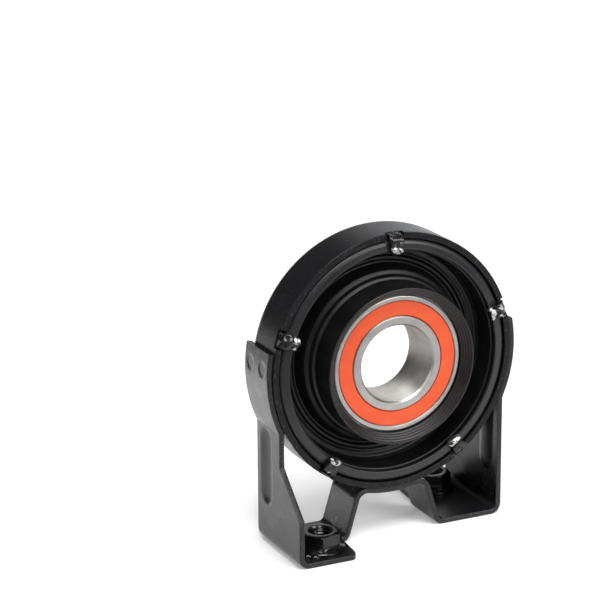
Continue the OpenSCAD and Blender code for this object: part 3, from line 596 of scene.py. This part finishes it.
half_pi = math.pi / 2
runs = [
    arc_run(shaft, WRAP_MID, -half_pi, -half_pi + saddle_angle, 1),
    arc_run(saddle_turn, SADDLE_BEND + SHEET / 2, half_pi + saddle_angle, lean, -1, 0.5),
    arc_run(foot_turn, FOOT_BEND - SHEET / 2, math.pi + lean, 3 * half_pi, 1, 0.4),
    arc_run(np.array([LEG_X - FOOT_BEND, FOOT_BEND]), FOOT_BEND - SHEET / 2, -half_pi, 0, 1, 0.4),
    arc_run(kink_turn, KINK, math.pi, math.pi - kink_angle, -1, 0.3),
    arc_run(shaft, WRAP_MID, -kink_angle, EAR_ANGLE, 1)]
inner_leg = straight_run(runs[1][0][-1], runs[2][0][0], runs[2][1][0])
foot = straight_run(runs[2][0][-1], runs[3][0][0], runs[3][1][0], 0.3)
outer_leg = straight_run(runs[3][0][-1], runs[4][0][0], runs[4][1][0], 0.6)
order = [runs[0], runs[1], inner_leg, runs[2], foot, runs[3], outer_leg, runs[4], runs[5]]
fold = np.vstack([points for points, _ in order])
fold_out = np.vstack([normals for _, normals in order])
keep = np.r_[True, np.linalg.norm(np.diff(fold, axis=0), axis=1) > 1e-6]
fold, fold_out = fold[keep], fold_out[keep]
fold_length = np.linalg.norm(np.diff(fold, axis=0), axis=1).sum()
print("fold line of one half:", len(fold), "points,", round(fold_length), "mm")

# %% [markdown]
# The blank is cut wider at the feet before it is folded. So the width is worked out along the fold, point
# by point of the path: a flare up the leg, a straight free edge and a round corner.

# %% Width of the strip along the fold
FREE_EDGE, CORNER = 27.6, 3.0
FLARE_LOW, FLARE_HIGH = 22.2, 40.4
x, z = fold.T


def foot_width(reach):
    """Distance from the strip's middle to its edge: the strip's half width, but up to reach at the foot,
    with a straight flare up the leg, a straight free edge and a round corner."""
    share = np.clip((z - FLARE_LOW) / (FLARE_HIGH - FLARE_LOW), 0, 1)
    flare = reach + (HALF_STRIP - reach) * share
    free = HALF_STRIP + (x - foot_turn[0]) / (FREE_EDGE - foot_turn[0]) * (reach - HALF_STRIP)
    corner = reach - CORNER + np.sqrt(np.maximum(CORNER ** 2 - (FREE_EDGE + CORNER - x) ** 2, 0))
    on_foot = (z < FOOT_BEND) & (x > foot_turn[0]) & (x < FREE_EDGE + CORNER)
    wide = np.where(x > FREE_EDGE + CORNER, flare, np.where(on_foot, np.minimum(free, corner), HALF_STRIP))
    return np.maximum(wide, HALF_STRIP)


mirror_fold = fold[:0:-1] * [-1, 1]
mirror_out = fold_out[:0:-1] * [-1, 1]
path = np.vstack([mirror_fold, fold])
normal = np.vstack([mirror_out, fold_out])
low = np.concatenate([-foot_width(LEFT_REACH)[:0:-1], np.full(len(fold), -HALF_STRIP)])
high = np.concatenate([np.full(len(fold) - 1, HALF_STRIP), foot_width(RIGHT_REACH)])

print("strip:", 2 * HALF_STRIP, "mm wide, feet", round((high - low).max(), 1), "mm at most")

# %% [markdown]
# A press pushes the bead and the dimples into the sheet, so here they move points along its normal. The
# bead is a trough: its depth is 1 - (distance / half width)^2, skewed to be deeper towards the flare.
# In the photograph the bead's floor is much darker than the leg, which a shallow flat floor can't
# give, so it is drawn deeper than in the solid.


# %% Sheet with beads, dimples and round edges
BEAD_DEPTH, BEAD_HALF, BEAD_OFFSET = 1.8, 5.8, 2.0
BEAD_LOW, BEAD_HIGH = 25.0, 49.8
DIMPLE_SIDE, DIMPLE_RISE, DIMPLE_DEPTH = 6.0, 3.5, 0.45


def smooth_step(low_end, high_end, value):
    """0 below the low end, 1 above the high end, and 3 t^2 - 2 t^3 between them."""
    t = np.clip((value - low_end) / (high_end - low_end), 0, 1)
    return t * t * (3 - 2 * t)


section = strip_section(60, 3)
half, radius = np.full(len(path), SHEET / 2), np.full(len(path), 0.45)
across, depth = sweep(low, high, half, radius, section)
side_of = np.sign(path[:, :1])
on_leg = (np.abs(path[:, :1]) > LEG_X - SHEET) & (path[:, 1:] > FOOT_BEND)
past_ends = np.maximum(np.maximum(BEAD_LOW - path[:, 1:], path[:, 1:] - BEAD_HIGH), 0)
from_bead = np.hypot(across + BEAD_OFFSET * side_of, past_ends)
skew = 1 + 0.4 * (across * side_of + BEAD_OFFSET) / BEAD_HALF
pressed = -BEAD_DEPTH * np.clip(1 - (from_bead / BEAD_HALF) ** 2, 0, 1) * skew * on_leg
from_dimple = np.hypot(np.abs(across) - DIMPLE_SIDE, path[:, 1:] - AXIS - DIMPLE_RISE)
dimple = -DIMPLE_DEPTH * (1 - smooth_step(2.7, 3.7, from_dimple)) * on_leg * (section[:, 3] > 0)
through = depth + pressed + dimple
sheet_points = np.stack([path[:, :1] + normal[:, :1] * through, across,
                         path[:, 1:] + normal[:, 1:] * through], -1)
rows, columns = across.shape
points = sheet_points.reshape(-1, 3)
quads = outward(points, grid_quads(rows, columns))
ring = np.arange(columns)
flip = 1 if quads[0][1] == columns else -1
faces = quads.tolist() + [ring[::flip].tolist(), ((rows - 1) * columns + ring)[::-flip].tolist()]
sheet_edge = np.tile((section[:, 1] != 0).astype(float), rows)
bracket = make_mesh("folded_bracket", points, faces, sheet_edge)

# %% [markdown]
# The bolt holes are punched through the finished sheet: a boolean with two plain cutters, applied at
# once so that the piece stays a simple mesh.

# %% Bolt holes
NUTS = {"nut_right": (1, 25.2, 33), "nut_left": (-1, 18.2, 13)}
NUT_X = 39.4
HOLE_R = 5.5
turn = np.linspace(0, 2 * np.pi, 64, endpoint=False)
circle = HOLE_R * np.stack([np.cos(turn), np.sin(turn)], -1)
levels = np.broadcast_to(np.array([-2.0, 6.0])[:, None, None], (2, 64, 1))
rings = [np.broadcast_to(s * np.array([NUT_X, y]) + circle, (2, 64, 2)) for s, y, _ in NUTS.values()]
cutters = np.stack([np.concatenate([ring, levels], -1) for ring in rings])
cut_quads = outward(cutters[0].reshape(-1, 3), grid_quads(2, 64))
disc = np.arange(64)
flip = 1 if cut_quads[0][1] == 64 else -1
cut_faces = []
for first in (0, 128):
    cut_faces += (cut_quads + first).tolist()
    cut_faces += [(first + disc)[::flip].tolist(), (first + 64 + disc)[::-flip].tolist()]
cutter = make_mesh("hole_cutter", cutters.reshape(-1, 3), cut_faces)
punch = bracket.modifiers.new("punch", "BOOLEAN")
punch.object, punch.operation, punch.solver = cutter, "DIFFERENCE", "EXACT"
punched = bpy.data.meshes.new_from_object(bracket.evaluated_get(bpy.context.evaluated_depsgraph_get()))
bracket.modifiers.clear()
bracket.data = punched
bpy.data.objects.remove(cutter)
punched.set_sharp_from_angle(angle=math.radians(40))
fit(bracket, "housing", "black_coat", bracket_paint, "bracket")

# %% [markdown]
# ## Foot nuts
# A flange nut is welded on each foot. Its outline is turned about the nut's own axis with a radius
# that depends on the angle: a / cos(angle to the nearest flat) on the hexagon, cut by the chamfer
# cone, and a wave along the helix in the bore for the thread.

# %% Nuts
NUT_SEAT, NUT_TOP, FLAT, FLANGE_R = SHEET + SEAT, SHEET + SEAT + 8.5, 8.0, 10.9
PITCH = 1.5
theta = np.linspace(0, 2 * np.pi, 180, endpoint=False)
to_flat = theta % (np.pi / 3) - np.pi / 6
hexagon = FLAT / np.cos(to_flat)
levels = np.concatenate([np.linspace(NUT_SEAT + 3.6, NUT_TOP - 1.2, 4),
                         np.linspace(NUT_TOP - 1.05, NUT_TOP - 0.25, 8)])
cone = FLAT + (NUT_TOP - levels) * 1.75
sides = np.minimum(hexagon[None] - 0.12, cone[:, None])
flange = np.array([(5.2, NUT_SEAT), (FLANGE_R - 0.3, NUT_SEAT), (FLANGE_R, NUT_SEAT + 0.3),
                   (FLANGE_R, NUT_SEAT + 0.95), (FLANGE_R - 0.25, NUT_SEAT + 1.3),
                   (FLANGE_R - 0.8, NUT_SEAT + 1.55)])
skirt_r = np.maximum(9.4, hexagon)
skirt = np.stack([np.minimum(skirt_r, FLANGE_R - 1.2), hexagon + 0.25, hexagon])
skirt_z = np.array([NUT_SEAT + 2.0, NUT_SEAT + 2.7, NUT_SEAT + 3.2])
top = np.array([(FLAT - 0.15, NUT_TOP - 0.06), (FLAT - 0.6, NUT_TOP), (5.9, NUT_TOP), (5.6, NUT_TOP - 0.08)])
bore_z = np.linspace(NUT_TOP - 0.7, NUT_SEAT + 0.5, 64)
helix = 4.62 + 0.36 * (2 * np.abs(((bore_z[:, None] / PITCH - theta / (2 * np.pi)) % 1) - 0.5) * 2 - 1)
taper = np.clip((bore_z - NUT_TOP + 2.2) / 1.5, 0, 1)[:, None] ** 2 * 0.5


def plain(part):
    """The radii of an outline, the same at every angle."""
    return np.broadcast_to(part[:, :1], (len(part), len(theta)))


radii = np.vstack([plain(flange), skirt, sides, plain(top), helix + taper])
heights = np.concatenate([flange[:, 1], skirt_z, levels, top[:, 1], bore_z])
nut_grid = np.stack([radii * np.cos(theta), radii * np.sin(theta),
                     np.broadcast_to(heights[:, None], radii.shape)], -1)
nut_quads = grid_quads(len(radii), len(theta), close_rows=True)
print("nut:", len(radii), "levels,", 2 * FLAT, "mm across the flats, thread pitch", PITCH, "mm")

# %% [markdown]
# Two tack welds hold each flange. A weld blob is a low dome with a wavy rim, half sunk into the foot's
# top, and it takes the same paint as the nut.

# %% Tack welds
lift = np.radians(np.linspace(-20, 90, 12))[:, None]
around = np.linspace(0, 2 * np.pi, 28, endpoint=False)
ripple = 1 + 0.1 * np.sin(3 * around + 0.5) + 0.06 * np.sin(5 * around)
blob = np.stack([2.0 * np.cos(lift) * np.cos(around) * ripple, 1.6 * np.cos(lift) * np.sin(around) * ripple,
                 NUT_SEAT + 1.7 * np.sin(lift) + 0 * around], -1)
blob[-1] = [0, 0, NUT_SEAT + 1.7]
blob_quads = grid_quads(12, 28)
for name, (half_turn, nut_y, corner_turn) in NUTS.items():
    c, s = math.cos(math.radians(corner_turn)), math.sin(math.radians(corner_turn))
    parts = [nut_grid.reshape(-1, 3) @ np.array([[c, s, 0], [-s, c, 0], [0, 0, 1]])]
    faces = outward(parts[0], nut_quads).tolist()
    for place in np.radians([38, 55]):
        first = sum(len(p) for p in parts)
        moved = blob + [11.8 * math.cos(place), 11.8 * math.sin(place), 0]
        shell = outward(moved.reshape(-1, 3) - moved.reshape(-1, 3).mean(0), blob_quads)
        flip = 1 if shell[0][1] == 28 else -1
        faces += (shell + first).tolist() + [(first + np.arange(28))[::flip].tolist()]
        parts.append(moved.reshape(-1, 3))
    points = (np.vstack(parts) + [NUT_X, nut_y, 0]) * [half_turn, half_turn, 1]
    nut = make_mesh("flange_" + name, points, faces, np.zeros(len(points)), 32)
    fit(nut, "housing", "black_coat", nut_paint, name)

# %% [markdown]
# ## Pieces inside the bearing
# The sleeve, cage, rivets and balls hardly show, so their solids stay as they are and only take a finish.

# %% Finishes on the solids that stay
for name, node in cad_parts.items():
    if node.hide_render:
        continue
    node.data.materials.clear()
    node.data.materials.append(ball_steel if name.startswith("ball_") else plain_steel)
print("solids kept:", [n for n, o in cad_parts.items() if not o.hide_render])

# %% [markdown]
# ## Floor, light and camera
# Black gloss paint shows what it mirrors, so the room shapes it. A sheet of white paper lies under the
# part and runs out a hand's breadth in front of it. Beyond it the floor is painted grey: painted shade
# that stands in for the dim room in front, which the paint mirrors. Brighter lamps could whiten
# the paper, but they would bleach the part too. So the paper adds a little light of its own, only to the
# camera and in mirrors, and the shadow stays.

# %% Floor
floor_mesh = bpy.data.meshes.new("floor")
side = np.array([[-1, -1, 0], [1, -1, 0], [1, 1, 0], [-1, 1, 0]], float) * 4.0
floor_mesh.from_pydata((side - [0, 0, 0.00002]).tolist(), [], [[0, 1, 2, 3]])
floor = bpy.data.objects.new("floor", floor_mesh)
bpy.context.scene.collection.objects.link(floor)
paper, tree, shader = new_finish("white_backdrop_paper", roughness=0.9)
ground = add(tree, "TexCoord").outputs["Object"]
ahead = add(tree, "VectorMath", {0: ground, 1: (-0.46, -0.888, 0)}, operation="DOT_PRODUCT")
ahead = ahead.outputs["Value"]
painted_shade_ahead = add(tree, "MapRange", {"Value": ahead, "From Min": 0.095, "From Max": 0.21},
                interpolation_type="SMOOTHSTEP").outputs["Result"]
# Grey beyond the paper is painted shade: it darkens what the black paint mirrors from the front.
shade = add(tree, "MixRGB", {"Fac": painted_shade_ahead, "Color1": linear("#ececec"), "Color2": linear("#9c9c9c")})
tree.links.new(shade.outputs["Color"], shader.inputs["Base Color"])
rays = add(tree, "LightPath").outputs
seen = add(tree, "Math", {0: rays["Is Camera Ray"], 1: rays["Is Glossy Ray"]}, operation="MAXIMUM")
seen = add(tree, "Math", {0: seen.outputs[0], 1: rays["Is Transmission Ray"]}, operation="MAXIMUM")
far = add(tree, "MapRange", {"Value": ahead, "From Min": -1.2, "From Max": 0.12,
                             "To Min": 0.75, "To Max": 0.2})
on_paper = add(tree, "Math", {0: 1.0, 1: painted_shade_ahead}, operation="SUBTRACT")
glow = add(tree, "Math", {0: far.outputs["Result"], 1: on_paper.outputs[0]}, operation="MULTIPLY")
glow = add(tree, "Math", {0: glow.outputs[0], 1: seen.outputs[0]}, operation="MULTIPLY")
shader.inputs["Emission Color"].default_value = (1, 1, 1, 1)
tree.links.new(glow.outputs[0], shader.inputs["Emission Strength"])
floor_mesh.materials.append(paper)
print("floor:", paper.name, "up to a hand's breadth in front of the part")

# %% [markdown]
# ### Lamps and world
# One strong lamp would leave a hard spot on the paint. Three square soft lamps stand in front instead, high
# and to both sides, and a narrow one lights the paper behind on the left, which the left leg mirrors.
# The room is dim, and only bright behind on the right.


# %% Lamps and world
def soft_lamp(name, place, aim, size, power):
    """A square area lamp at a place, turned to its aim, in metres and watts."""
    lamp = bpy.data.lights.new(name, "AREA")
    lamp.size, lamp.energy = size, power
    holder = bpy.data.objects.new(name, lamp)
    bpy.context.scene.collection.objects.link(holder)
    back = np.array(place, float) - aim
    back /= np.linalg.norm(back)
    right = np.cross([0, 1, 0.01], back)
    right /= np.linalg.norm(right)
    turn = np.column_stack([right, np.cross(back, right), back])
    holder.matrix_world = Matrix.Translation(place) @ Matrix(turn.tolist()).to_4x4()
    return holder


soft_lamp("top_softbox", (-0.15, -0.65, 1.35), (0, 0, 0.08), 0.8, 18)
soft_lamp("front_softbox", (0.7, -1.22, 0.82), (0, 0, 0.08), 0.8, 15)
soft_lamp("left_softbox", (-1.3, -0.5, 0.8), (0, 0, 0.08), 0.9, 5)
floor_lamp = soft_lamp("floor_lamp", (-0.15, 0.2, 0.7), (-0.15, 0.2, 0), 0.15, 0.3)
floor_lamp.data.spread = math.radians(36)

world = bpy.data.worlds.new("dim_studio")
bpy.context.scene.world = world
world.use_nodes = True
tree = world.node_tree
way = add(tree, "SeparateXYZ", {"Vector": add(tree, "TexCoord").outputs["Generated"]})
to_right = add(tree, "MapRange", {"Value": way.outputs["X"], "From Min": 0.05, "From Max": 0.5},
               interpolation_type="SMOOTHSTEP")
to_back = add(tree, "MapRange", {"Value": way.outputs["Y"], "From Min": 0.0, "From Max": 0.4},
              interpolation_type="SMOOTHSTEP")
both = add(tree, "Math", {0: to_right.outputs["Result"], 1: to_back.outputs["Result"]}, operation="MULTIPLY")
level = add(tree, "Math", {0: both.outputs[0], 1: 0.65, 2: 0.1}, operation="MULTIPLY_ADD")
background = tree.nodes["Background"]
background.inputs["Color"].default_value = linear("#f4f5f7")
tree.links.new(level.outputs[0], background.inputs["Strength"])

# %% [markdown]
# ### Camera
# The camera stands where the photograph was taken from: 1.1 m away, 18 degrees up and 27 degrees to the
# left. Its three axes are worked out from those angles, and a small shift of the lens gives the same
# framing without turning the view.

# %% Camera
DISTANCE = 1.1
azimuth, elevation, roll = np.radians([-27.38, 18.06, 0.21])
back = np.array([math.sin(azimuth) * math.cos(elevation), -math.cos(azimuth) * math.cos(elevation),
                 math.sin(elevation)])
level = np.array([math.cos(azimuth), math.sin(azimuth), 0])
rise = np.cross(back, level)
right = math.cos(roll) * level + math.sin(roll) * rise
up = np.cross(back, right)
lens = bpy.data.cameras.new("camera")
lens.lens, lens.sensor_width = 148.77, 36.0
lens.shift_x, lens.shift_y = -0.1358, 0.0901
camera = bpy.data.objects.new("camera", lens)
bpy.context.scene.collection.objects.link(camera)
place = (np.array([0, 0, AXIS]) + SHIFT) * MM + back * DISTANCE
camera.matrix_world = Matrix.Translation(place) @ Matrix(np.column_stack([right, up, back]).tolist()).to_4x4()
bpy.context.scene.camera = camera
bpy.context.scene.view_settings.view_transform = "Standard"
print("camera:", round(lens.lens, 1), "mm lens at", np.round(place, 3).tolist(), "m")
